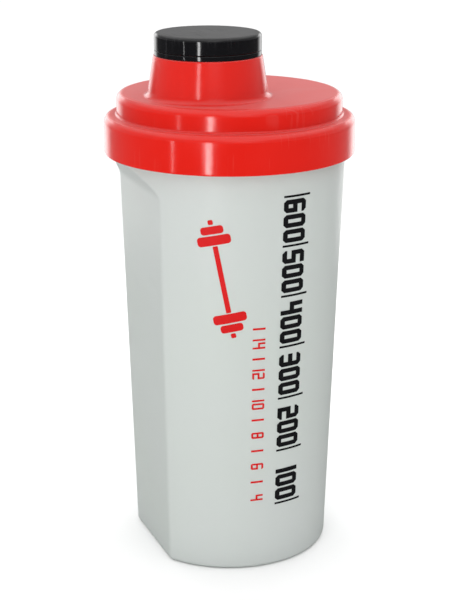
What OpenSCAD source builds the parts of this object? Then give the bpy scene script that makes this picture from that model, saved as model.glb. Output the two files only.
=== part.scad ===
// Shaker bottle: a drafted cup with one flat side, a drop-in strainer, a two-tier
// screw lid with an off-centre drinking spout, and a low screw cap.
// Millimetres, +Z up. The origin is the centre of the base, on the cup's axis,
// and the cup's flat side faces -X.

/* [Cup] */
// Height of the cup, from its foot to its rim
cup_h = 168.5; // [150:0.5:190]
// Outer radius of the cup at its foot
cup_foot_r = 38.8; // [36:0.1:40]
// Outer radius of the cup just under the lid's skirt
cup_top_r = 44.3; // [44.1:0.1:45]
// Wall thickness of the cup
cup_wall = 1.6; // [1.3:0.1:1.8]
// Thickness of the cup's floor
cup_floor = 2; // [1.5:0.1:3]
// Distance of the flat side from the axis at the foot
flat_foot = 33.1; // [32:0.1:34]
// Distance of the flat side from the axis at its top
flat_top = 36.9; // [36:0.1:38]

/* [Thread of the lid] */
// Rise of the lid in one turn
lid_pitch = 4.5; // [4.5:0.1:5]
// Outer radius of the cup's neck
neck_r = 44; // [43.9:0.1:44]

/* [Strainer] */
// Width of a square hole
mesh_hole = 3.4; // [2.5:0.1:4]
// Width of the bar between two holes
mesh_bar = 1.4; // [1:0.1:2]
// Thickness of the grille and its flange
mesh_t = 1.15; // [1:0.05:1.15]

/* [Lid] */
// Outer radius of the skirt
skirt_r = 47.9; // [47.6:0.1:50]
// Height of the skirt
skirt_h = 14.5; // [14.5:0.1:16]
// Outer radius of the upper tier
tier_r = 43; // [42.8:0.1:43.5]
// Height of the upper tier above the skirt
tier_h = 8.4; // [7:0.1:12]

/* [Spout] */
// Offset of the spout's axis along X
spout_x = -11.3; // [-14:0.1:0]
// Offset of the spout's axis along Y
spout_y = -7; // [-9:0.1:0]
// Outer radius of the spout where it meets the lid
spout_foot_r = 22.8; // [21.5:0.1:23.5]
// Outer radius of the spout's shoulder, under the cap
spout_top_r = 20.3; // [20.1:0.1:21]
// Height of the shoulder above the lid's top
spout_h = 15.3; // [12:0.1:24]

/* [Cap] */
// Outer radius of the cap and of the band under it
cap_r = 19.95; // [19.7:0.05:20]
// Height of the cap above the band
cap_h = 6.3; // [6.3:0.1:8]
// Rise of the cap in one turn
cap_pitch = 2; // [2:0.1:2.2]

/* [Hidden] */
$fn = 96;
gap = 0.05;                                   // face to face clearance of stacked pieces
cut = 1;                                      // how far a cutter runs past a face

// Cup
foot_round = 2;                               // rounding between the foot and the wall
foot_in_r = 29;                               // inner radius of the ring that it stands on
foot_in_h = 1;                                // depth of the hollow inside that ring
cup_floor_z = foot_in_h + cup_floor;
skirt_z = cup_h - 10;                         // lower edge of the lid's skirt
draft = (cup_top_r - cup_foot_r) / skirt_z;   // growth of the radius per mm of height
neck_z = skirt_z + 1.1;                       // where the wall steps in to the neck
mouth_r = neck_r - cup_wall;
flat_z = skirt_z - 9.7;                       // top of the flat side
flat_end_z = skirt_z - 0.1;                   // top of the sloping shoulder above it
flat_rise = 1.26;                             // slope of that shoulder
function cup_r(z) = cup_foot_r + draft * z;

// Lid thread: the lid's ridge runs under the cup's ridge
cup_ridge_z = neck_z + 1.4;                   // middle of the cup's ridge at its start
cup_ridge_turn = 400;                         // degrees that it runs
cup_ridge_r = neck_r + 1.6;
skirt_in_r = 46.2;
lid_ridge_from = 60;
lid_ridge_turn = 380;
lid_ridge_r = neck_r + 0.4;
lid_ridge_drop = 1.6;                         // how far it runs below the cup's ridge

// Strainer and seal, stacked on the rim
flange_z = cup_h + gap;
flange_r = neck_r - 0.2;
sleeve_r = mouth_r - 0.3;                     // ring that centres the strainer in the mouth
sleeve_t = 1.4;
sleeve_h = 4;
mesh_r = sleeve_r - 3.2;                      // the holes stay inside this radius
seal_z = flange_z + mesh_t + gap;
seal_t = 1.4;
seal_in_r = neck_r - 2;
seal_out_r = neck_r + 1.4;

// Lid
ledge_in_z = seal_z + seal_t + gap;           // underside of the ledge
ledge_z = skirt_z + skirt_h;
lid_top_z = ledge_z + tier_h;
lid_round = 2.8;
lid_wall = 1.8;
tier_in_r = tier_r - lid_wall;

// Spout
shoulder_z = lid_top_z + spout_h;
finish_r = 17;                                // outside of the threaded neck
bore_r = 15.2;
rim_z = shoulder_z + 6.1;
spout_round = 2.5;
spout_wall = 1.8;
spout_ridge_z = shoulder_z + 0.9;
spout_ridge_turn = 828;
spout_ridge_r = finish_r + 1.1;

// Cap
ring_z = shoulder_z + gap;
ring_h = 1.8;
ring_in_r = spout_ridge_r + 0.3;
cap_z = ring_z + ring_h + 0.15;
cap_top_z = cap_z + cap_h;
cap_round = 1.4;
cap_in_r = finish_r + 1.6;
cap_roof = 1.2;
cap_ridge_from = 464;
cap_ridge_turn = 380;
cap_ridge_r = finish_r + 0.5;
cap_ridge_drop = 0.82;
liner_z = rim_z + gap;
liner_r = cap_in_r - 0.2;
liner_t = cap_top_z - cap_roof - gap - liner_z;

// A ridge that winds up a wall. It starts at the angle from, runs for turn degrees and
// climbs pitch a turn. Its section is root_h high at root_r and crest_h high at crest_r,
// and it fades to the wall over the first and last 18 degrees.
module ridge(pitch, from, turn, root_r, crest_r, root_h, crest_h) {
    step = 6;
    n = ceil(turn / step);
    fade = 18;
    low = 0.3;                                // share of the height left at the ends
    function share(a) = min(1, low + (1 - low) * min(a, turn - a) / fade);
    function ring(a) =
        let (
            r = root_r + (crest_r - root_r) * share(a),
            z = pitch * (from + a) / 360,
            u = [cos(from + a), sin(from + a)]
        )
        [
            [root_r * u.x, root_r * u.y, z - root_h / 2],
            [r * u.x, r * u.y, z - crest_h / 2],
            [r * u.x, r * u.y, z + crest_h / 2],
            [root_r * u.x, root_r * u.y, z + root_h / 2]
        ];
    points = [for (i = [0:n]) each ring(i * turn / n)];
    sides = [
        for (i = [0:n - 1], k = [0:3])
            let (a = 4 * i + k, b = 4 * i + (k + 1) % 4)
            each [[a, b, b + 4], [a, b + 4, a + 4]]
    ];
    ends = [
        [2, 1, 0], [3, 2, 0],
        [4 * n, 4 * n + 1, 4 * n + 2], [4 * n, 4 * n + 2, 4 * n + 3]
    ];
    faces = concat(sides, ends);
    polyhedron(points, crest_r > root_r ? faces : [for (f = faces) [f[2], f[1], f[0]]]);
}

// A flat ring
module washer(out_r, in_r, h) {
    difference() {
        cylinder(r = out_r, h = h);
        translate([0, 0, -cut]) cylinder(r = in_r, h = h + 2 * cut);
    }
}

// Half section of a disc with a rounded upper edge
module rounded_disc(r, h, edge) {
    square([r, h - edge]);
    square([r - edge, h]);
    translate([r - edge, h - edge]) circle(edge);
}

// Everything outside the flat side and below its sloping shoulder, moved in by inset
module beyond_flat(inset) {
    up = 0.4 * inset;
    far = cup_top_r + 20;
    run = (flat_end_z - flat_z) / flat_rise;
    rotate([90, 0, 0]) linear_extrude(2 * far, center = true) polygon([
        [-flat_foot + inset, 0],
        [-flat_top + inset, flat_z + up],
        [-flat_top - run + inset, flat_end_z + up],
        [-far, flat_end_z + up],
        [-far, -cut],
        [-flat_foot + inset, -cut]
    ]);
}

module cup_outside() {
    corner_r = cup_r(foot_round) - foot_round;
    difference() {
        rotate_extrude() polygon([
            [0, 0],
            for (a = [-90:30:0]) [corner_r + foot_round * cos(a), foot_round * (1 + sin(a))],
            [cup_r(neck_z), neck_z],
            [neck_r, neck_z + 0.4],
            [neck_r, cup_h],
            [0, cup_h]
        ]);
        beyond_flat(0);
    }
}

module cup_inside() {
    inner_r = cup_r(cup_floor_z) - cup_wall;
    straight_z = (mouth_r + cup_wall - cup_foot_r) / draft;
    difference() {
        rotate_extrude() polygon([
            [0, cup_floor_z],
            [inner_r - foot_round, cup_floor_z],
            [inner_r, cup_floor_z + foot_round],
            [mouth_r, straight_z],
            [mouth_r, cup_h + cut],
            [0, cup_h + cut]
        ]);
        beyond_flat(cup_wall);
    }
}

module cup() {
    color("gainsboro") {
        difference() {
            cup_outside();
            cup_inside();
            translate([0, 0, -cut])
                cylinder(r1 = foot_in_r + cut, r2 = foot_in_r - foot_in_h, h = foot_in_h + cut);
        }
        translate([0, 0, cup_ridge_z])
            ridge(lid_pitch, 0, cup_ridge_turn, neck_r - 0.25, cup_ridge_r, 2, 0.9);
    }
}

module strainer() {
    reach = mesh_hole + mesh_bar;
    n = floor(mesh_r / reach);
    color("whitesmoke") {
        translate([0, 0, flange_z]) difference() {
            cylinder(r = flange_r, h = mesh_t);
            for (i = [-n:n], j = [-n:n])
                if (norm([abs(i) * reach + mesh_hole / 2, abs(j) * reach + mesh_hole / 2]) < mesh_r)
                    translate([i * reach - mesh_hole / 2, j * reach - mesh_hole / 2, -cut])
                        cube([mesh_hole, mesh_hole, mesh_t + 2 * cut]);
        }
        translate([0, 0, flange_z - sleeve_h])
            washer(sleeve_r, sleeve_r - sleeve_t, sleeve_h + mesh_t / 2);
    }
}

module lid_seal() {
    color("lightgrey") translate([0, 0, seal_z]) washer(seal_out_r, seal_in_r, seal_t);
}

module spout_outside() {
    rotate_extrude() {
        polygon([
            [0, lid_top_z - lid_wall / 2],
            [spout_foot_r, lid_top_z - lid_wall / 2],
            [spout_foot_r, lid_top_z],
            [spout_top_r, shoulder_z],
            [finish_r, shoulder_z],
            [finish_r, rim_z],
            [0, rim_z]
        ]);
        translate([spout_foot_r - spout_round / 2, lid_top_z - lid_wall / 2]) difference() {
            square([spout_round * 1.5, spout_round + lid_wall / 2]);
            translate([spout_round * 1.5, spout_round + lid_wall / 2]) circle(spout_round);
        }
    }
}

module spout_inside() {
    foot_z = lid_top_z - lid_wall - cut;
    rotate_extrude() polygon([
        [0, foot_z],
        [spout_foot_r - spout_wall, foot_z],
        [spout_top_r - spout_wall, shoulder_z - 2.5],
        [bore_r, shoulder_z - 0.5],
        [bore_r, rim_z + cut],
        [0, rim_z + cut]
    ]);
}

module lid() {
    spout_at = [spout_x, spout_y, 0];
    color("red") {
        difference() {
            union() {
                rotate_extrude() {
                    translate([0, skirt_z]) rounded_disc(skirt_r, skirt_h, lid_round);
                    translate([0, skirt_z]) rounded_disc(tier_r, skirt_h + tier_h, lid_round);
                }
                translate(spout_at) spout_outside();
            }
            translate([0, 0, skirt_z - cut])
                cylinder(r = skirt_in_r, h = ledge_in_z - skirt_z + cut);
            translate([0, 0, skirt_z])
                cylinder(r = tier_in_r, h = lid_top_z - lid_wall - skirt_z);
            translate(spout_at) spout_inside();
        }
        translate([0, 0, cup_ridge_z - lid_ridge_drop])
            ridge(lid_pitch, lid_ridge_from, lid_ridge_turn, skirt_in_r + 0.25, lid_ridge_r, 1.8, 0.8);
        translate(spout_at + [0, 0, spout_ridge_z])
            ridge(cap_pitch, 0, spout_ridge_turn, finish_r - 0.2, spout_ridge_r, 1, 0.45);
    }
}

module cap_ring() {
    color("black") translate([spout_x, spout_y, ring_z]) washer(cap_r, ring_in_r, ring_h);
}

module cap_liner() {
    color("white") translate([spout_x, spout_y, liner_z]) cylinder(r = liner_r, h = liner_t);
}

module cap() {
    color("black") translate([spout_x, spout_y, 0]) {
        difference() {
            rotate_extrude() translate([0, cap_z]) rounded_disc(cap_r, cap_h, cap_round);
            translate([0, 0, cap_z - cut]) cylinder(r = cap_in_r, h = cap_h - cap_roof + cut);
        }
        translate([0, 0, spout_ridge_z - cap_ridge_drop])
            ridge(cap_pitch, cap_ridge_from, cap_ridge_turn, cap_in_r + 0.2, cap_ridge_r, 0.9, 0.4);
    }
}

cup();
strainer();
lid_seal();
lid();
cap_ring();
cap_liner();
cap();
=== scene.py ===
import math

import bmesh
import bpy
import numpy as np
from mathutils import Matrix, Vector


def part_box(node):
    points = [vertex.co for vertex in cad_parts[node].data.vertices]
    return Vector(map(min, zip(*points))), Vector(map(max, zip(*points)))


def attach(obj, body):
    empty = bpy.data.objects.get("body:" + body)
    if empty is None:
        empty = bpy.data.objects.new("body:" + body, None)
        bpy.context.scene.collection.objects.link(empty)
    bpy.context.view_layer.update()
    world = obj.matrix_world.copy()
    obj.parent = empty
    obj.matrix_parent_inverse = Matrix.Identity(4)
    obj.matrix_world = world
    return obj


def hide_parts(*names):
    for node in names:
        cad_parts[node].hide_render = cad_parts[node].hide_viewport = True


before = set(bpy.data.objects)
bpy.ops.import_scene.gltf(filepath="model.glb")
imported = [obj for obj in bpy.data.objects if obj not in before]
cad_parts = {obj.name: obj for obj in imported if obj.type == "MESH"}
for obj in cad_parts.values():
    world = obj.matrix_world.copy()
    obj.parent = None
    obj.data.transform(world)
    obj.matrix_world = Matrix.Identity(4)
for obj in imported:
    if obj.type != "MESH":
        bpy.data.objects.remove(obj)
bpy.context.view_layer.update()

# ---------------------------------------------------------------------------------------
# The cup is one thin injection moulding in natural polypropylene, which is milky and lets
# light through. It is drafted to leave its mould, has a flat side that gives a grip, a
# screw ridge round its neck, and stands on a ring round its slightly hollow foot.
# ---------------------------------------------------------------------------------------

MM = 0.001
cup_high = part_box("cup")[1]
CUP_H = cup_high.z
FOOT_R = 38.8 * MM
TOP_R = 44.3 * MM
SKIRT_Z = CUP_H - 10 * MM                 # where the lid's skirt ends
NECK_Z = SKIRT_Z + 1.1 * MM
NECK_R = 44.0 * MM
CUP_WALL = 1.6 * MM
MOUTH_R = NECK_R - CUP_WALL
MOUTH_DEPTH = 18.5 * MM                   # how far the mouth goes down before the wall tapers
FLOOR_Z = 3.0 * MM
STAND_R = 29.5 * MM                       # inside of the ring that it stands on
HOLLOW = 1.0 * MM                         # depth of the hollow inside that ring
FLAT_FOOT = 33.1 * MM                     # distance of the flat side from the axis
FLAT_TOP = 36.9 * MM
FLAT_Z = SKIRT_Z - 9.7 * MM
FLAT_RISE = 1.26                          # slope of the shoulder above the flat side
EDGE_EASE = 0.7 * MM                      # softness of the flat side's upright edges
FOOT_EASE = 2.0 * MM
NEAR_FLAT = 0.2                           # cosine of the turn past which no flat side is met
LID_PITCH = 4.5 * MM
RIDGE_Z = NECK_Z + 1.4 * MM               # where the neck's screw ridge starts
CUP_RIDGE = 1.6 * MM                      # how far it stands out
CUP_RIDGE_SWEEP = 400                     # degrees from its start to its end
CUP_RIDGE_HALVES = 1.0 * MM, 0.45 * MM    # half its width at its root, and at its crest
RIDGE_FADE = 18                           # degrees over which any ridge's end rises


def cup_radius(z):
    return FOOT_R + (TOP_R - FOOT_R) * z / SKIRT_Z


def eased_min(a, b, ease):
    """The smaller of a and b, with the corner where they cross eased over that distance."""
    share = np.clip(0.5 + 0.5 * (b - a) / ease, 0, 1)
    return b + (a - b) * share - ease * share * (1 - share)


def flat_reach(z, inset):
    """Distance from the axis to the flat side at a height, that much inside the surface."""
    side = FLAT_FOOT + (FLAT_TOP - FLAT_FOOT) * z / FLAT_Z
    shoulder = FLAT_TOP + (z - 0.4 * inset - FLAT_Z) / FLAT_RISE
    return -eased_min(-side, -shoulder, 2 * MM) - inset


def rounded(corners, steps=6):
    """Points along a path of (radius, height, easing) corners, each eased by an arc."""
    path = []
    for i, (r, z, ease) in enumerate(corners):
        here = Vector((r, z))
        if not ease:
            path.append(here)
            continue
        back = (Vector(corners[i - 1][:2]) - here).normalized()
        on = (Vector(corners[i + 1][:2]) - here).normalized()
        half = back.angle(on) / 2
        reach = ease / math.tan(half)
        centre = here + (back + on).normalized() * (ease / math.sin(half))
        start, end = here + back * reach - centre, here + on * reach - centre
        sweep = start.angle(end)
        for k in range(steps + 1):
            t = k / steps
            bow = start * math.sin((1 - t) * sweep) + end * math.sin(t * sweep)
            path.append(centre + bow / math.sin(sweep))
    return path


def braced(path, spacing=lambda z: 4 * MM, brace=0.3 * MM):
    """The path with a point near both ends of every long stretch, so that what is flat
    shades flat, and with points along it at the spacing that each height asks for."""
    out = [path[0]]
    for here, there in zip(path, path[1:]):
        run = there - here
        if run.length > 3 * brace:
            way = run.normalized()
            at = brace
            while at < run.length - 1.5 * brace:
                out.append(here + way * at)
                at += min(spacing(here.y + way.y * at), run.length - brace - at)
                if run.length - brace - at < 1e-7:
                    break
            out.append(there - way * brace)
        out.append(there)
    return out


def winding(angles, z, first_z, pitch, begin, sweep, halves):
    """How much of a screw ridge's height stands at each angle, at one height z. The ridge
    begins at an angle in degrees, and has half widths at its root and its crest."""
    half_root, half_crest = halves
    stand = np.zeros(len(angles))
    for turn in range(int((begin + sweep) // 360) + 2):
        along = np.degrees(angles) % 360 + 360 * turn - begin
        middle = first_z + pitch * (along + begin) / 360
        flank = np.clip((half_root - abs(z - middle)) / (half_root - half_crest), 0, 1)
        fade = np.clip(np.minimum(along, sweep - along) / RIDGE_FADE, 0, 1)
        stand = np.maximum(stand, flank * fade)
    return stand


def skinned(name, rings, material, body, node):
    """A mesh skinned over rings of points. A ring of one point is a pole, and without
    poles the last ring joins the first. It stands for its CAD node."""
    starts, points = [], []
    for ring in rings:
        starts.append(len(points))
        points.extend(map(tuple, ring))
    faces = []
    pairs = list(zip(range(len(rings)), range(1, len(rings))))
    if len(rings[0]) > 1 and len(rings[-1]) > 1:
        pairs.append((len(rings) - 1, 0))
    for i, j in pairs:
        a, b, n, m = starts[i], starts[j], len(rings[i]), len(rings[j])
        for k in range(max(n, m)):
            q = (k + 1) % max(n, m)
            if n == 1:
                faces.append((a, b + k, b + q))
            elif m == 1:
                faces.append((a + q, a + k, b))
            else:
                faces.append((a + k, b + k, b + q, a + q))
    mesh = bpy.data.meshes.new(name)
    mesh.from_pydata(points, [], faces)
    shape = bmesh.new()
    shape.from_mesh(mesh)
    bmesh.ops.recalc_face_normals(shape, faces=shape.faces)
    shape.to_mesh(mesh)
    shape.free()
    mesh.shade_smooth()
    piece = bpy.data.objects.new(name, mesh)
    bpy.context.scene.collection.objects.link(piece)
    piece.data.materials.append(material)
    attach(piece, body)
    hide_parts(node)


def new_material(name):
    """A material with its Principled shader and its node tree."""
    material = bpy.data.materials.new(name)
    material.use_nodes = True
    tree = material.node_tree
    tree.nodes.clear()
    shader = tree.nodes.new("ShaderNodeBsdfPrincipled")
    out = tree.nodes.new("ShaderNodeOutputMaterial")
    tree.links.new(shader.outputs["BSDF"], out.inputs["Surface"])
    return material, tree, shader


def add(tree, kind, inputs=None, **settings):
    """A node of that kind. Each input is a plain value, or another node's output."""
    node = tree.nodes.new("ShaderNode" + kind)
    for key, value in settings.items():
        setattr(node, key, value)
    for key, value in (inputs or {}).items():
        if isinstance(value, bpy.types.NodeSocket):
            tree.links.new(value, node.inputs[key])
        else:
            node.inputs[key].default_value = value
    return node


def math_node(tree, operation, a, b=0.0, clamp=False):
    return add(tree, "Math", {0: a, 1: b}, operation=operation, use_clamp=clamp).outputs[0]


def blend_node(tree, share, a, b):
    mix = add(tree, "Mix", {0: share, 6: a, 7: b}, data_type="RGBA")
    return mix.outputs[2]


def varied(tree, mask, base, gain):
    """The base value, raised by the mask times the gain."""
    return add(tree, "Math", {0: mask, 1: gain, 2: base}, operation="MULTIPLY_ADD").outputs[0]


def bumped(tree, shader, height, strength, distance=0.2 * MM):
    bump = add(tree, "Bump", {"Height": height, "Strength": strength, "Distance": distance})
    tree.links.new(bump.outputs[0], shader.inputs["Normal"])


SCUFF_LINES = ((0.4, 0.2, 0.9), (2200, 60, 90)), ((1.3, 0.8, 0.1), (80, 2600, 60))
SCUFF_FROM, SCUFF_SHARP = 0.70, 14.0      # how strong noise must be to scuff, and how sharply
PATCH_FROM, PATCH_SHARP = 0.52, 8.0       # the same for the patches that hold the scuffs
UPWARD_FROM, UPWARD_FULL = 0.80, 0.99     # upward part of the normal where it starts and ends


def moulded_surface():
    """Node group for any moulded plastic: a faint orange peel, smudges from handling,
    hairline scuffs that run every way, and a mask of the faces that look straight up,
    which use leaves hazier than the sides."""
    group = bpy.data.node_groups.new("moulded_surface", "ShaderNodeTree")
    face = group.interface
    for name, value in (("Peel size", 700.0), ("Smudge size", 45.0), ("Scuffs", 0.5)):
        socket = face.new_socket(name, in_out="INPUT", socket_type="NodeSocketFloat")
        socket.default_value = value
    for name in ("Height", "Smudge", "Scuff", "Upward"):
        face.new_socket(name, in_out="OUTPUT", socket_type="NodeSocketFloat")
    start = group.nodes.new("NodeGroupInput").outputs
    end = group.nodes.new("NodeGroupOutput").inputs
    place = add(group, "TexCoord").outputs["Object"]
    peel = add(group, "TexNoise", {"Vector": place, "Scale": start["Peel size"], "Detail": 2.0})
    smudge = add(group, "TexNoise", {
        "Vector": place, "Scale": start["Smudge size"], "Detail": 5.0, "Distortion": 0.8})
    scuff = 0.0
    for tilt, stretch in SCUFF_LINES:
        lines = add(group, "Mapping", {"Vector": place, "Rotation": tilt, "Scale": stretch})
        field = add(group, "TexNoise", {
            "Vector": lines.outputs[0], "Scale": 1.0, "Detail": 0.0}).outputs["Fac"]
        above = math_node(group, "SUBTRACT", field, SCUFF_FROM)
        thin = math_node(group, "MULTIPLY", above, SCUFF_SHARP, True)
        scuff = math_node(group, "MAXIMUM", scuff, thin)
    patch = add(group, "TexNoise", {"Vector": place, "Scale": 38.0, "Detail": 2.0})
    where = math_node(group, "SUBTRACT", patch.outputs["Fac"], PATCH_FROM)
    where = math_node(group, "MULTIPLY", where, PATCH_SHARP, True)
    scuff = math_node(group, "MULTIPLY", scuff, where)
    scuff = math_node(group, "MULTIPLY", scuff, start["Scuffs"])
    normal = add(group, "NewGeometry").outputs["Normal"]
    rise = add(group, "SeparateXYZ", {0: normal}).outputs["Z"]
    upward = add(group, "MapRange", {0: rise, 1: UPWARD_FROM, 2: UPWARD_FULL, 3: 0.0, 4: 1.0},
                 interpolation_type="SMOOTHSTEP").outputs[0]
    group.links.new(peel.outputs["Fac"], end["Height"])
    group.links.new(smudge.outputs["Fac"], end["Smudge"])
    group.links.new(scuff, end["Scuff"])
    group.links.new(upward, end["Upward"])
    return group


SURFACE = moulded_surface()


def surface_node(tree, peel, smudge, scuffs):
    node = tree.nodes.new("ShaderNodeGroup")
    node.node_tree = SURFACE
    for name, value in (("Peel size", peel), ("Smudge size", smudge), ("Scuffs", scuffs)):
        node.inputs[name].default_value = value
    return node.outputs


DARKER_BAND_HEIGHT = 1 / 60                       # height in metres over which the cup grows darker towards the bottom


def milky_polypropylene():
    """Natural polypropylene: milky, cooler and darker towards the bottom, satin outside."""
    material, tree, shader = new_material("milky_polypropylene")
    surface = surface_node(tree, 420.0, 22.0, 0.35)
    place = add(tree, "TexCoord").outputs["Object"]
    cloud = add(tree, "TexNoise", {"Vector": place, "Scale": 14.0, "Detail": 3.0}).outputs["Fac"]
    tint = blend_node(tree, cloud, (0.765, 0.83, 0.775, 1), (0.795, 0.825, 0.82, 1))
    height = add(tree, "SeparateXYZ", {0: place}).outputs["Z"]
    # The colour grows darker and cooler towards the bottom of the cup.
    low = math_node(tree, "SUBTRACT", 1.0, math_node(tree, "DIVIDE", height, DARKER_BAND_HEIGHT), True)
    tint = blend_node(tree, math_node(tree, "MULTIPLY", low, 0.35), tint, (0.72, 0.77, 0.75, 1))
    tree.links.new(tint, shader.inputs["Base Color"])
    rough = varied(tree, surface["Smudge"], 0.30, 0.16)
    rough = varied(tree, surface["Scuff"], rough, 0.2)
    tree.links.new(rough, shader.inputs["Roughness"])
    bumped(tree, shader, surface["Height"], 0.10)
    shader.inputs["IOR"].default_value = 1.49
    shader.inputs["Transmission Weight"].default_value = 0.35
    return material


# Columns are close together over the flat side, and wider apart round the rest.
FLAT_HALF = math.radians(36)
FLAT_COLUMNS, ROUND_COLUMNS = 120, 144
cup_angles = np.concatenate([
    np.linspace(math.pi - FLAT_HALF, math.pi + FLAT_HALF, FLAT_COLUMNS + 1)[:-1],
    np.linspace(math.pi + FLAT_HALF, 3 * math.pi - FLAT_HALF, ROUND_COLUMNS + 1)[:-1],
])


def cup_ring(r, z, follows_flat=True, ridged=False):
    """One ring of the cup. It follows the flat side, as far in from it as r is from the
    round wall, and carries the screw ridge if it is on the outside of the neck."""
    reach = np.full(len(cup_angles), float(r))
    if follows_flat:
        toward = -np.cos(cup_angles)
        flat = flat_reach(z, cup_radius(z) - r) / np.maximum(toward, NEAR_FLAT)
        reach = np.where(toward > NEAR_FLAT, eased_min(reach, flat, EDGE_EASE), reach)
    if ridged:
        reach = reach + CUP_RIDGE * winding(
            cup_angles, z, RIDGE_Z, LID_PITCH, 0, CUP_RIDGE_SWEEP, CUP_RIDGE_HALVES)
    return np.stack([reach * np.cos(cup_angles), reach * np.sin(cup_angles),
                     np.full(len(cup_angles), float(z))], 1)


def cup_spacing(z):
    if z > NECK_Z:
        return 0.2 * MM
    return 0.45 * MM if z > FLAT_Z - 3 * MM else 3 * MM


foot_path = rounded([
    (0.4 * MM, HOLLOW, 0), (STAND_R - 1 * MM, HOLLOW, 0.6 * MM), (STAND_R, 0, 0.5 * MM),
    (STAND_R + 1.2 * MM, 0, 0),
])
wall_path = rounded([
    (FOOT_R - 4 * MM, 0, 0), (FOOT_R, 0, FOOT_EASE), (cup_radius(NECK_Z), NECK_Z, 0.3 * MM),
    (NECK_R, NECK_Z + 0.4 * MM, 0.3 * MM), (NECK_R, CUP_H, 0.6 * MM),
    (MOUTH_R, CUP_H, 0.6 * MM), (MOUTH_R, CUP_H - MOUTH_DEPTH, 0),
    (cup_radius(FLOOR_Z) - CUP_WALL, FLOOR_Z, 3 * MM), (30 * MM, FLOOR_Z, 0),
])
wall_path = [p for p in wall_path if p.y > 0 or p.x > FOOT_R - 3 * MM]


def on_neck(p):
    return p.x >= NECK_R - 0.1 * MM and NECK_Z < p.y < CUP_H - 0.3 * MM


cup_rings = [[(0, 0, HOLLOW)]]
cup_rings += [cup_ring(p.x, p.y, follows_flat=False) for p in braced(foot_path)]
cup_rings += [cup_ring(p.x, p.y, ridged=on_neck(p)) for p in braced(wall_path, cup_spacing)]
floor_edge = cup_rings[-1]
cup_rings += [floor_edge * (share, share, 1) for share in (0.8, 0.5, 0.2)]
cup_rings += [[(0, 0, FLOOR_Z)]]
skinned("cup_shell", cup_rings, milky_polypropylene(), "cup", "cup")

# ---------------------------------------------------------------------------------------
# The print on the cup is two colours of screen ink: black millilitre numerals that read
# down the side, each standing on its line, a red fluid-ounce column beside them, and a
# red barbell sign. The lines stand where that much drink comes to.
# ---------------------------------------------------------------------------------------

INK_LIFT = 0.03 * MM
INK_THICK = 0.04 * MM
BLACK_AZIMUTH = math.radians(-78.2)
BLACK_WIDE = 9.8 * MM
RED_AZIMUTH = math.radians(-96.2)
RED_WIDE = 4.9 * MM
SIGN_AZIMUTH = math.radians(-115)
SIGN_Z = 119 * MM
FLUID_OUNCE = 29.57                       # in millilitres
ML_PER_M3 = 1e6
BEND_STEP = 1.1 * MM                      # width of the strips that follow the cup's curve
SORT_WAY = Vector((1, math.pi, 17))       # no two faces lie equally far along it
CORNER_CUT = 0.6                          # share of a bar's width that a cut corner takes


def fill_heights(volumes):
    """The height that each volume in millilitres fills the cup to."""
    step = 0.25 * MM
    levels = np.arange(FLOOR_Z, CUP_H, step)
    inner = np.minimum(cup_radius(levels) - CUP_WALL, MOUTH_R)
    flat = np.minimum(np.array([flat_reach(z, CUP_WALL) for z in levels]), inner)
    lost = inner ** 2 * np.arccos(flat / inner) - flat * np.sqrt(inner ** 2 - flat ** 2)
    filled = np.cumsum(math.pi * inner ** 2 - lost) * step * ML_PER_M3
    return np.interp(volumes, filled, levels + step)


def ink_bar(sheet, left, right, low, high):
    corners = [sheet.verts.new((x, y, 0)) for x, y in
               ((left, low), (right, low), (right, high), (left, high))]
    sheet.faces.new(corners)


# Block numerals on a grid of three columns and five rows, the top row first. The corners
# named after each are cut off: t and b for top and bottom, l and r for left and right.
BLOCK_DIGITS = {
    "0": ("### #.# #.# #.# ###", "tl tr bl br"), "1": ("# # # # #", ""),
    "2": ("### ..# ### #.. ###", "tl tr br"), "3": ("### ..# ### ..# ###", "tl tr bl br"),
    "4": ("#.# #.# ### ..# ..#", ""), "5": ("### #.. ### ..# ###", "tl bl br"),
    "6": ("### #.. ### #.# ###", "tl tr bl br"), "8": ("### #.# ### #.# ###", "tl tr bl br"),
}


def ink_digit(sheet, digit, top, wide, long, bar, stem):
    """A block digit turned to read downward from that height, and where it ends."""
    rows, cut = BLOCK_DIGITS[digit]
    rows = rows.split()
    across = [wide / 2 - d for d in (
        0, bar, (wide - bar) / 2, (wide + bar) / 2, wide - bar, wide)]
    down = [0, stem, long - stem, long][:len(rows[0]) + 1]
    corners = {}

    def corner(column, row, inset=(0, 0)):
        key = (column, row, inset)
        if key not in corners:
            corners[key] = sheet.verts.new((
                across[row] + inset[1] * bar * CORNER_CUT,
                top - down[column] - inset[0] * stem * CORNER_CUT, 0))
        return corners[key]

    for row, cells in enumerate(rows):
        for column, cell in enumerate(cells):
            if cell != "#":
                continue
            outline = []
            for dc, dr in ((0, 0), (1, 0), (1, 1), (0, 1)):
                at = (column + dc, row + dr)
                name = {0: "t", 5: "b"}.get(at[1], "-") + {0: "l", 3: "r"}.get(at[0], "-")
                if name in cut.split():
                    slide = (1 if dc == 0 else -1, 0), (0, -1 if dr == 0 else 1)
                    if dc != dr:
                        slide = slide[::-1]
                    outline += [corner(*at, slide[1]), corner(*at, slide[0])]
                else:
                    outline.append(corner(*at))
            sheet.faces.new(outline)
    return top - down[-1]


def ink_numeral(sheet, text, wide, long, bar, stem, gap, end=None, middle=None):
    """A numeral that ends at a height, or is centred on one."""
    run = sum(stem if digit == "1" else long for digit in text) + gap * (len(text) - 1)
    top = end + run if middle is None else middle + run / 2
    for digit in text:
        top = ink_digit(sheet, digit, top, wide, long, bar, stem) - gap


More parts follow.
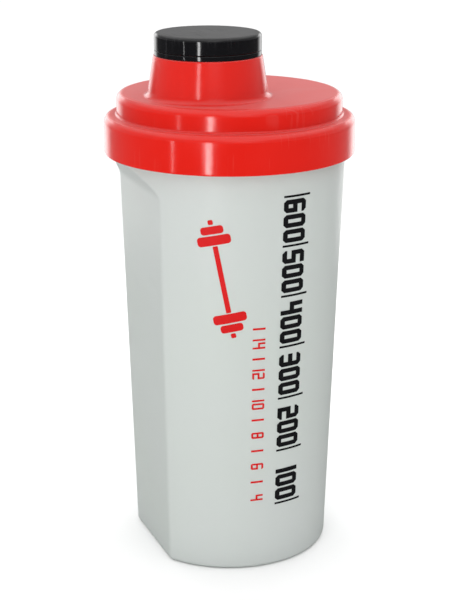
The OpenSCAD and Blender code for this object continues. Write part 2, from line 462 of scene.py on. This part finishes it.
def ink_plate(sheet, along, wide, long, lean, ease, sides=5):
    """A bar with rounded corners, centred that far along the sign's leaning axis."""
    corners = []
    for quarter, (sx, sy) in enumerate(((1, 1), (-1, 1), (-1, -1), (1, -1))):
        for k in range(sides + 1):
            turn = math.pi / 2 * (quarter + k / sides)
            x = sx * (wide / 2 - ease) + ease * math.cos(turn)
            y = sy * (long / 2 - ease) + ease * math.sin(turn) + along
            corners.append(sheet.verts.new((
                x * math.cos(lean) - y * math.sin(lean),
                x * math.sin(lean) + y * math.cos(lean), 0)))
    sheet.faces.new(corners)


def printed(name, sheet, azimuth, base, material):
    """Lays a sheet of flat ink shapes on the cup's wall, x along it and y up from base."""
    reach = max(abs(v.co.x) for v in sheet.verts)
    cuts = int(reach / BEND_STEP) + 1
    for k in range(-cuts, cuts + 1):
        whole = sheet.verts[:] + sheet.edges[:] + sheet.faces[:]
        bmesh.ops.bisect_plane(
            sheet, geom=whole, plane_co=(k * BEND_STEP, 0, 0), plane_no=(1, 0, 0))
    bmesh.ops.solidify(sheet, geom=sheet.faces[:], thickness=INK_THICK)
    # Solidify adds the side faces in no fixed order, so all are sorted by place.
    sheet.faces.sort(key=lambda face: face.calc_center_median().dot(SORT_WAY))
    thick = max(v.co.z for v in sheet.verts)
    for v in sheet.verts:
        z = base + v.co.y
        r = cup_radius(z) + INK_LIFT + INK_THICK + v.co.z - thick
        turn = azimuth + v.co.x / cup_radius(z)
        v.co = (r * math.cos(turn), r * math.sin(turn), z)
    bmesh.ops.recalc_face_normals(sheet, faces=sheet.faces[:])
    mesh = bpy.data.meshes.new(name)
    sheet.to_mesh(mesh)
    sheet.free()
    piece = bpy.data.objects.new(name, mesh)
    bpy.context.scene.collection.objects.link(piece)
    mesh.materials.append(material)
    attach(piece, "cup")


def screen_ink(name, colour, faded):
    """Screen ink: flat and satin, with the faint unevenness that the mesh leaves."""
    material, tree, shader = new_material(name)
    surface = surface_node(tree, 1800.0, 120.0, 0.4)
    patch = varied(tree, surface["Smudge"], 0.0, 0.35)
    patch = varied(tree, surface["Scuff"], patch, 0.5)
    tree.links.new(blend_node(tree, patch, colour, faded), shader.inputs["Base Color"])
    tree.links.new(varied(tree, surface["Smudge"], 0.32, 0.2), shader.inputs["Roughness"])
    bumped(tree, shader, surface["Height"], 0.15, 0.05 * MM)
    shader.inputs["Specular IOR Level"].default_value = 0.15
    return material


black_ink = screen_ink("black_ink", (0.003, 0.003, 0.004, 1), (0.020, 0.020, 0.022, 1))
red_ink = screen_ink("red_ink", (0.58, 0.003, 0.004, 1), (0.63, 0.018, 0.018, 1))

scale_sheet = bmesh.new()
marks = range(100, 701, 100)
LINE_THICK = 0.8 * MM
LINE_PAST = 2 * MM                        # how far a line runs past its numeral
for number, line in zip(marks, fill_heights(marks)):
    ink_bar(scale_sheet, -BLACK_WIDE / 2, BLACK_WIDE / 2 + LINE_PAST, line, line + LINE_THICK)
    if number != marks[-1]:
        ink_numeral(scale_sheet, str(number), BLACK_WIDE, long=4.9 * MM, bar=2.0 * MM,
                    stem=1.75 * MM, gap=0.75 * MM, end=line + LINE_THICK + 0.9 * MM)
printed("scale_black", scale_sheet, BLACK_AZIMUTH, 0, black_ink)

ounce_sheet = bmesh.new()
for ounces in range(4, 16):
    line = float(fill_heights([ounces * FLUID_OUNCE])[0])
    if ounces % 2:
        ink_bar(ounce_sheet, -RED_WIDE / 2, RED_WIDE / 2,
                line - LINE_THICK / 2, line + LINE_THICK / 2)
    else:
        ink_numeral(ounce_sheet, str(ounces), RED_WIDE, long=2.5 * MM, bar=0.75 * MM,
                    stem=0.7 * MM, gap=0.7 * MM, middle=line)
printed("scale_red", ounce_sheet, RED_AZIMUTH, 0, red_ink)

sign_sheet = bmesh.new()
SIGN_LEAN = math.radians(11)
HANDLE = 0, 1.9, 26.0, 0.3                # along, wide, long and easing, in millimetres
WEIGHTS = (15.2, 12.5, 3.6, 1.2), (19.1, 8.5, 3.0, 1.1), (22.1, 1.9, 1.8, 0.5)
for along, wide, long, ease in (HANDLE, *((-a, *rest) for a, *rest in WEIGHTS), *WEIGHTS):
    ink_plate(sign_sheet, along * MM, wide * MM, long * MM, SIGN_LEAN, ease * MM)
printed("sign_red", sign_sheet, SIGN_AZIMUTH, SIGN_Z, red_ink)

# ---------------------------------------------------------------------------------------
# The strainer is a white polypropylene sieve that drops into the cup's mouth: a square
# mesh in a flange that lies on the rim, over a short sleeve that centres it.
# ---------------------------------------------------------------------------------------


def white_polypropylene():
    material, tree, shader = new_material("white_polypropylene")
    surface = surface_node(tree, 500.0, 60.0, 0.3)
    tint = blend_node(tree, surface["Smudge"], (0.80, 0.81, 0.79, 1), (0.86, 0.87, 0.86, 1))
    tree.links.new(tint, shader.inputs["Base Color"])
    tree.links.new(varied(tree, surface["Smudge"], 0.28, 0.2), shader.inputs["Roughness"])
    bumped(tree, shader, surface["Height"], 0.12)
    return material


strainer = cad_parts["strainer"]
strainer.data.materials.clear()
strainer.data.materials.append(white_polypropylene())

# ---------------------------------------------------------------------------------------
# The lid seal is a flat ring of pale silicone rubber. It lies in the lid, under the
# ledge, and is squeezed on to the strainer's flange and the cup's rim.
# ---------------------------------------------------------------------------------------

PLAIN_COLUMNS = 192
plain_angles = np.linspace(0, 2 * math.pi, PLAIN_COLUMNS + 1)[:-1]


def plain_ring(r, z, centre=(0, 0)):
    return np.stack([centre[0] + r * np.cos(plain_angles), centre[1] + r * np.sin(plain_angles),
                     np.full(len(plain_angles), float(z))], 1)


def washer_path(low, high, out_r, in_r, ease):
    """Half section of a flat ring with eased corners, closed on itself."""
    middle = (out_r + in_r) / 2
    return rounded([
        (middle, low, 0), (out_r, low, ease), (out_r, high, ease), (in_r, high, ease),
        (in_r, low, ease), (middle - 0.1 * MM, low, 0)])


def silicone_rubber():
    """Pale silicone: soft, a little see-through, with a dusty sheen."""
    material, tree, shader = new_material("silicone_rubber")
    surface = surface_node(tree, 900.0, 80.0, 0.1)
    tint = blend_node(tree, surface["Smudge"], (0.62, 0.64, 0.66, 1), (0.72, 0.73, 0.74, 1))
    tree.links.new(tint, shader.inputs["Base Color"])
    tree.links.new(varied(tree, surface["Smudge"], 0.5, 0.15), shader.inputs["Roughness"])
    shader.inputs["Transmission Weight"].default_value = 0.2
    shader.inputs["IOR"].default_value = 1.41
    shader.inputs["Sheen Weight"].default_value = 0.3
    bumped(tree, shader, surface["Height"], 0.2, 0.1 * MM)
    return material


seal_low, seal_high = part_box("lid_seal")
SEAL_OUT_R = seal_high.x
SEAL_IN_R = NECK_R - 2 * MM
seal_rings = [plain_ring(p.x, p.y) for p in braced(
    washer_path(seal_low.z, seal_high.z, SEAL_OUT_R, SEAL_IN_R, 0.35 * MM))]
skinned("lid_seal_ring", seal_rings, silicone_rubber(), "lid_seal", "lid_seal")

# ---------------------------------------------------------------------------------------
# The lid is one injection moulding in glossy red polypropylene: a skirt with a screw ridge
# inside, a ledge, a smaller upper tier, and a tapered spout that stands off centre and ends
# in a threaded neck for the cap.
# ---------------------------------------------------------------------------------------

SPOUT_AT = np.array([-11.3 * MM, -7.0 * MM])
SKIRT_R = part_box("lid")[1].x
SKIRT_IN_R = 46.2 * MM
LEDGE_Z = SKIRT_Z + 14.5 * MM
LEDGE_IN_Z = seal_high.z + 0.05 * MM
LID_TOP = LEDGE_Z + 8.4 * MM
CEILING_Z = LID_TOP - 1.8 * MM
TIER_R = 43.0 * MM
TIER_IN_R = 41.2 * MM
FLARE_R = 22.8 * MM
SHOULDER_R = 20.3 * MM
SHOULDER_Z = LID_TOP + 15.3 * MM
FINISH_R = 17.0 * MM
BORE_R = 15.2 * MM
THROAT_R = 18.5 * MM                      # inside of the spout, under its shoulder
THROAT_FOOT_R = 21.0 * MM
SKIRT_EDGE_RS = 47.1 * MM, 46.9 * MM      # two rings that close the skirt's lower edge
TOP_EDGE_R = 39.8 * MM                    # the last ring round the cup's axis
SPOUT_EDGE_RS = 25.9 * MM, 22.5 * MM      # the first round the spout's, above and beneath
RIM_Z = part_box("lid")[1].z
ON_WALL = 0.05 * MM                       # a ring this near a wall's radius lies on that wall
SKIRT_RIDGE = 1.8 * MM                    # how far the ridge inside the skirt stands in
SKIRT_RIDGE_Z = RIDGE_Z - 1.6 * MM
SKIRT_RIDGE_TURN = 60, 380                # its start, and degrees on from there to its end
SKIRT_RIDGE_HALVES = 0.9 * MM, 0.4 * MM
CAP_PITCH = 2.0 * MM
NECK_RIDGE = 1.1 * MM                     # how far the ridge round the spout's neck stands out
NECK_RIDGE_Z = SHOULDER_Z + 0.9 * MM
NECK_RIDGE_TURN = 0, 828
NECK_RIDGE_HALVES = 0.5 * MM, 0.22 * MM


def lid_ring(r, z, spout=0.0):
    """One ring of the lid, round the cup's axis or, with spout at 1, round the spout's.
    The skirt's inside and the neck's outside carry their screw ridges."""
    reach = np.full(len(plain_angles), float(r))
    if spout == 0 and abs(r - SKIRT_IN_R) < ON_WALL and z < LEDGE_IN_Z - 1 * MM:
        reach -= SKIRT_RIDGE * winding(
            plain_angles, z, SKIRT_RIDGE_Z, LID_PITCH, *SKIRT_RIDGE_TURN, SKIRT_RIDGE_HALVES)
    if spout == 1 and abs(r - FINISH_R) < ON_WALL and z > SHOULDER_Z:
        reach += NECK_RIDGE * winding(
            plain_angles, z, NECK_RIDGE_Z, CAP_PITCH, *NECK_RIDGE_TURN, NECK_RIDGE_HALVES)
    centre = spout * SPOUT_AT
    return np.stack([centre[0] + reach * np.cos(plain_angles),
                     centre[1] + reach * np.sin(plain_angles),
                     np.full(len(plain_angles), float(z))], 1)


def between(first, last, count=8):
    """Rings that lead from one ring to another in even steps."""
    return [first + (last - first) * k / count for k in range(1, count)]


def ridge_spacing(fine, low, high):
    return lambda z: fine if low < z < high else 2.5 * MM


def glossy_red():
    """Red polypropylene from a polished mould, with the haze and hairlines of use."""
    material, tree, shader = new_material("glossy_red_polypropylene")
    surface = surface_node(tree, 520.0, 40.0, 0.2)
    tint = blend_node(tree, surface["Smudge"], (0.63, 0.007, 0.002, 1), (0.68, 0.010, 0.004, 1))
    tint = blend_node(tree, math_node(tree, "MULTIPLY", surface["Scuff"], 0.25), tint,
                      (0.75, 0.30, 0.28, 1))
    tree.links.new(tint, shader.inputs["Base Color"])
    rough = varied(tree, surface["Smudge"], 0.06, 0.14)
    rough = varied(tree, surface["Scuff"], rough, 0.25)
    rough = varied(tree, surface["Upward"], rough, 0.25)
    tree.links.new(rough, shader.inputs["Roughness"])
    bumped(tree, shader, surface["Height"], 0.10)
    shader.inputs["Specular IOR Level"].default_value = 0.42
    shader.inputs["Sheen Weight"].default_value = 0.35
    shader.inputs["Sheen Roughness"].default_value = 0.35
    return material


skirt_path = braced(rounded([
    (SKIRT_EDGE_RS[0], SKIRT_Z, 0), (SKIRT_R, SKIRT_Z, 0.6 * MM), (SKIRT_R, LEDGE_Z, 2.8 * MM),
    (TIER_R, LEDGE_Z, 0.9 * MM), (TIER_R, LID_TOP, 2.8 * MM), (TOP_EDGE_R, LID_TOP, 0),
], steps=8))
spout_path = braced(rounded([
    (SPOUT_EDGE_RS[0], LID_TOP, 0), (FLARE_R, LID_TOP, 2.5 * MM),
    (SHOULDER_R, SHOULDER_Z, 0.5 * MM), (FINISH_R, SHOULDER_Z, 0.3 * MM),
    (FINISH_R, RIM_Z, 0.5 * MM), (BORE_R, RIM_Z, 0.5 * MM),
    (BORE_R, SHOULDER_Z - 0.5 * MM, 0.8 * MM), (THROAT_R, SHOULDER_Z - 2.5 * MM, 0.8 * MM),
    (THROAT_FOOT_R, CEILING_Z, 0.6 * MM), (SPOUT_EDGE_RS[1], CEILING_Z, 0),
]), ridge_spacing(0.12 * MM, SHOULDER_Z, RIM_Z))
under_path = braced(rounded([
    (TOP_EDGE_R, CEILING_Z, 0), (TIER_IN_R, CEILING_Z, 0.6 * MM),
    (TIER_IN_R, LEDGE_IN_Z, 0.4 * MM), (SKIRT_IN_R, LEDGE_IN_Z, 0.5 * MM),
    (SKIRT_IN_R, SKIRT_Z, 0.5 * MM), (SKIRT_EDGE_RS[1], SKIRT_Z, 0),
]), ridge_spacing(0.2 * MM, SKIRT_Z, LEDGE_IN_Z))
skirt_rings = [lid_ring(p.x, p.y) for p in skirt_path]
spout_rings = [lid_ring(p.x, p.y, 1.0) for p in spout_path]
under_rings = [lid_ring(p.x, p.y) for p in under_path]
lid_rings = (skirt_rings + between(skirt_rings[-1], spout_rings[0]) + spout_rings
             + between(spout_rings[-1], under_rings[0]) + under_rings)
skinned("lid_shell", lid_rings, glossy_red(), "lid", "lid")

# ---------------------------------------------------------------------------------------
# The band under the cap is a thin ring of the same black plastic as the cap. It sits on
# the spout's shoulder, and a fine gap parts it from the cap.
# ---------------------------------------------------------------------------------------


def glossy_black():
    """Black polypropylene from a polished mould, with finger haze and hairlines."""
    material, tree, shader = new_material("glossy_black_polypropylene")
    surface = surface_node(tree, 520.0, 55.0, 0.6)
    tint = blend_node(
        tree, surface["Smudge"], (0.0025, 0.0025, 0.0035, 1), (0.006, 0.006, 0.007, 1))
    tint = blend_node(tree, math_node(tree, "MULTIPLY", surface["Scuff"], 0.2), tint,
                      (0.15, 0.15, 0.16, 1))
    tree.links.new(tint, shader.inputs["Base Color"])
    rough = varied(tree, surface["Smudge"], 0.03, 0.10)
    rough = varied(tree, surface["Scuff"], rough, 0.3)
    rough = varied(tree, surface["Upward"], rough, 0.28)
    tree.links.new(rough, shader.inputs["Roughness"])
    bumped(tree, shader, surface["Height"], 0.08)
    shader.inputs["Specular IOR Level"].default_value = 0.4
    return material


CAP_R = 19.95 * MM
BAND_IN_R = FINISH_R + 1.4 * MM
black_plastic = glossy_black()
band_low, band_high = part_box("cap_ring")
band_rings = [plain_ring(p.x, p.y, SPOUT_AT) for p in braced(
    washer_path(band_low.z, band_high.z, CAP_R, BAND_IN_R, 0.2 * MM))]
skinned("cap_band", band_rings, black_plastic, "cap_ring", "cap_ring")

# ---------------------------------------------------------------------------------------
# The liner is a disc of white foamed polyethylene pressed into the cap, which closes on
# the rim of the spout.
# ---------------------------------------------------------------------------------------


def foam_liner():
    material, tree, shader = new_material("foamed_polyethylene")
    place = add(tree, "TexCoord").outputs["Object"]
    cells = add(tree, "TexVoronoi", {"Vector": place, "Scale": 1500.0})
    tint = blend_node(
        tree, cells.outputs["Distance"], (0.70, 0.70, 0.67, 1), (0.83, 0.83, 0.81, 1))
    tree.links.new(tint, shader.inputs["Base Color"])
    shader.inputs["Roughness"].default_value = 0.65
    bumped(tree, shader, cells.outputs["Distance"], 0.3)
    return material


liner_low, liner_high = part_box("cap_liner")
LINER_R = (liner_high.x - liner_low.x) / 2
POLE_R = 0.5 * MM                         # innermost ring, next to the point at a disc's centre
liner_path = braced(rounded([
    (POLE_R, liner_low.z, 0), (LINER_R, liner_low.z, 0.2 * MM),
    (LINER_R, liner_high.z, 0.2 * MM), (POLE_R, liner_high.z, 0)]))
liner_rings = [[(*SPOUT_AT, liner_low.z)]]
liner_rings += [plain_ring(p.x, p.y, SPOUT_AT) for p in liner_path]
liner_rings += [[(*SPOUT_AT, liner_high.z)]]
skinned("liner_disc", liner_rings, foam_liner(), "cap_liner", "cap_liner")

# ---------------------------------------------------------------------------------------
# The cap is a low screw cap, one moulding in glossy black polypropylene with a smooth side,
# an eased top edge and a fine screw ridge inside.
# ---------------------------------------------------------------------------------------

cap_low, cap_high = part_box("cap")
CAP_IN_R = FINISH_R + 1.6 * MM
CAP_ROOF = 1.2 * MM
CAP_RIDGE = 1.1 * MM                      # how far the ridge inside the cap stands in
CAP_RIDGE_Z = SHOULDER_Z + 0.08 * MM
CAP_RIDGE_TURN = 464, 380
CAP_RIDGE_HALVES = 0.45 * MM, 0.2 * MM


def cap_ring_at(r, z):
    """One ring of the cap; the inside of its wall carries the screw ridge."""
    reach = float(r)
    if abs(r - CAP_IN_R) < ON_WALL:
        reach = r - CAP_RIDGE * winding(
            plain_angles, z, CAP_RIDGE_Z, CAP_PITCH, *CAP_RIDGE_TURN, CAP_RIDGE_HALVES)
    return plain_ring(reach, z, SPOUT_AT)


cap_path = braced(rounded([
    (POLE_R, cap_high.z, 0), (CAP_R, cap_high.z, 1.4 * MM), (CAP_R, cap_low.z, 0.2 * MM),
    (CAP_IN_R, cap_low.z, 0.2 * MM), (CAP_IN_R, cap_high.z - CAP_ROOF, 0.3 * MM),
    (POLE_R, cap_high.z - CAP_ROOF, 0),
], steps=8), ridge_spacing(0.12 * MM, cap_low.z, cap_high.z))
cap_rings = [[(*SPOUT_AT, cap_high.z)]]
cap_rings += [cap_ring_at(p.x, p.y) for p in cap_path]
cap_rings += [[(*SPOUT_AT, cap_high.z - CAP_ROOF)]]
skinned("cap_shell", cap_rings, black_plastic, "cap", "cap")

# ---------------------------------------------------------------------------------------
# Studio: a pale floor, a soft sky that is brightest overhead and behind, a soft key lamp in
# front, upright panels behind that edge the gloss, and strip lamps beside the camera.
# ---------------------------------------------------------------------------------------

CAMERA_AZIMUTH = math.radians(-111.36)


def plan_point(turn, out, z):
    """A point that far out from the cup, turned in degrees from the camera's side."""
    at = CAMERA_AZIMUTH + math.radians(turn)
    return Vector((out * math.cos(at), out * math.sin(at), z))


# The floor is pale, and dim only in mirror reflections, as where a small table ends.
FLOOR_PALE = (0.95, 0.95, 0.95, 1)
FLOOR_MIRRORED = (0.10, 0.10, 0.10, 1)
FLOOR_HALF = 30.0
floor_material, floor_tree, floor_shader = new_material("studio_floor")
mirrored = add(floor_tree, "LightPath").outputs["Is Glossy Ray"]
floor_colour = blend_node(floor_tree, mirrored, FLOOR_PALE, FLOOR_MIRRORED)
floor_tree.links.new(floor_colour, floor_shader.inputs["Base Color"])
floor_shader.inputs["Roughness"].default_value = 0.8
floor_shader.inputs["Specular IOR Level"].default_value = 0.0
floor_mesh = bpy.data.meshes.new("studio_floor")
floor_mesh.from_pydata(
    [(x * FLOOR_HALF, y * FLOOR_HALF, 0) for x, y in ((-1, -1), (1, -1), (1, 1), (-1, 1))],
    [], [(0, 1, 2, 3)])
floor = bpy.data.objects.new("studio_floor", floor_mesh)
bpy.context.scene.collection.objects.link(floor)
floor.data.materials.append(floor_material)

SKY_SIDES = 0.46
SKY_OVERHEAD = 1.02
SKY_BEHIND = 0.15
OVERHEAD_FROM, OVERHEAD_FULL = 0.35, 0.85  # sine of the height where the bright part starts
BEHIND_FROM, BEHIND_FULL = 0.5, 0.8        # cosine of the turn from straight behind
world = bpy.data.worlds.new("studio")
bpy.context.scene.world = world
world.use_nodes = True
sky = world.node_tree
toward = add(sky, "TexCoord").outputs["Generated"]
rise = add(sky, "SeparateXYZ", {0: toward}).outputs["Z"]
overhead = add(sky, "MapRange", {
    0: rise, 1: OVERHEAD_FROM, 2: OVERHEAD_FULL, 3: 0.0, 4: SKY_OVERHEAD,
}, interpolation_type="SMOOTHSTEP").outputs[0]
away = add(sky, "VectorMath", {0: toward, 1: plan_point(180, 1, 0)}, operation="DOT_PRODUCT")
behind = add(sky, "MapRange", {
    0: away.outputs["Value"], 1: BEHIND_FROM, 2: BEHIND_FULL, 3: 0.0, 4: SKY_BEHIND,
}, interpolation_type="SMOOTHSTEP").outputs[0]
glow = math_node(sky, "MAXIMUM", math_node(sky, "ADD", overhead, SKY_SIDES),
                 math_node(sky, "ADD", behind, SKY_SIDES))
seen = add(sky, "LightPath").outputs["Is Camera Ray"]
glow = add(sky, "Mix", {0: seen, 2: glow, 3: 1.0}).outputs[0]
sky.links.new(glow, sky.nodes["Background"].inputs["Strength"])
sky.nodes["Background"].inputs["Color"].default_value = (1, 1, 1, 1)


LAMP_PEAK = 1.6                           # a lamp's middle, against its stated brightness
LAMP_CORE = 0.05                          # half width of that middle, as a share of the lamp


def lamp(name, turn, out, z, wide, high, brightness, aim_z):
    """A rectangular soft lamp that faces a point on the bottle's axis. It is unseen itself,
    and fades from its middle to its upright edges."""
    light = bpy.data.lights.new(name, "AREA")
    light.shape = "RECTANGLE"
    light.size = wide
    light.size_y = high
    light.energy = brightness * math.pi * wide * high
    light.use_nodes = True
    tree = light.node_tree
    across = add(tree, "NewGeometry").outputs["Parametric"]
    across = add(tree, "SeparateXYZ", {0: across}).outputs["X"]
    edge = math_node(tree, "ABSOLUTE", math_node(tree, "SUBTRACT", across, 0.5))
    fade = add(tree, "MapRange", {0: edge, 1: 0.5, 2: LAMP_CORE, 3: 0.0, 4: LAMP_PEAK},
               interpolation_type="SMOOTHSTEP").outputs[0]
    tree.links.new(fade, tree.nodes["Emission"].inputs["Strength"])
    stand = bpy.data.objects.new(name, light)
    bpy.context.scene.collection.objects.link(stand)
    stand.location = plan_point(turn, out, z)
    aim = Vector((0, 0, aim_z)) - stand.location
    stand.rotation_euler = aim.to_track_quat("-Z", "Y").to_euler()
    stand.visible_camera = False


lamp("key", turn=14, out=1.00, z=0.68, wide=1.00, high=0.70, brightness=0.40, aim_z=0.10)
lamp("strip", turn=-18, out=0.62, z=0.115, wide=0.09, high=0.23, brightness=11.0, aim_z=0.17)
lamp("strip_top", turn=-18, out=0.62, z=0.285, wide=0.09, high=0.11, brightness=5.0, aim_z=0.20)
lamp("thin_strip", turn=-50, out=0.60, z=0.115, wide=0.018, high=0.23, brightness=7.0, aim_z=0.17)
for side, turn in (("left", -150), ("right", 150)):
    lamp(side + "_panel", turn, out=0.45, z=0.17, wide=0.36, high=0.34, brightness=1.1, aim_z=0.17)
bpy.context.scene.view_settings.view_transform = "Standard"

# ---------------------------------------------------------------------------------------
# Camera: about 0.65 m away on a long lens, level with a point above the cap, and looking
# down at 17 degrees.
# ---------------------------------------------------------------------------------------

CAMERA_OUT = 0.5825
CAMERA_UP = 0.2782
CAMERA_PITCH = math.radians(17.18)        # how far below level it looks
lens = bpy.data.cameras.new("camera")
lens.lens = 92.4
lens.sensor_width = 36.0
lens.shift_x = 0.0126
camera = bpy.data.objects.new("camera", lens)
bpy.context.scene.collection.objects.link(camera)
camera.location = plan_point(0, CAMERA_OUT, CAMERA_UP)
QUARTER = math.radians(90)
camera.rotation_euler = (QUARTER - CAMERA_PITCH, 0, CAMERA_AZIMUTH + QUARTER)
bpy.context.scene.camera = camera
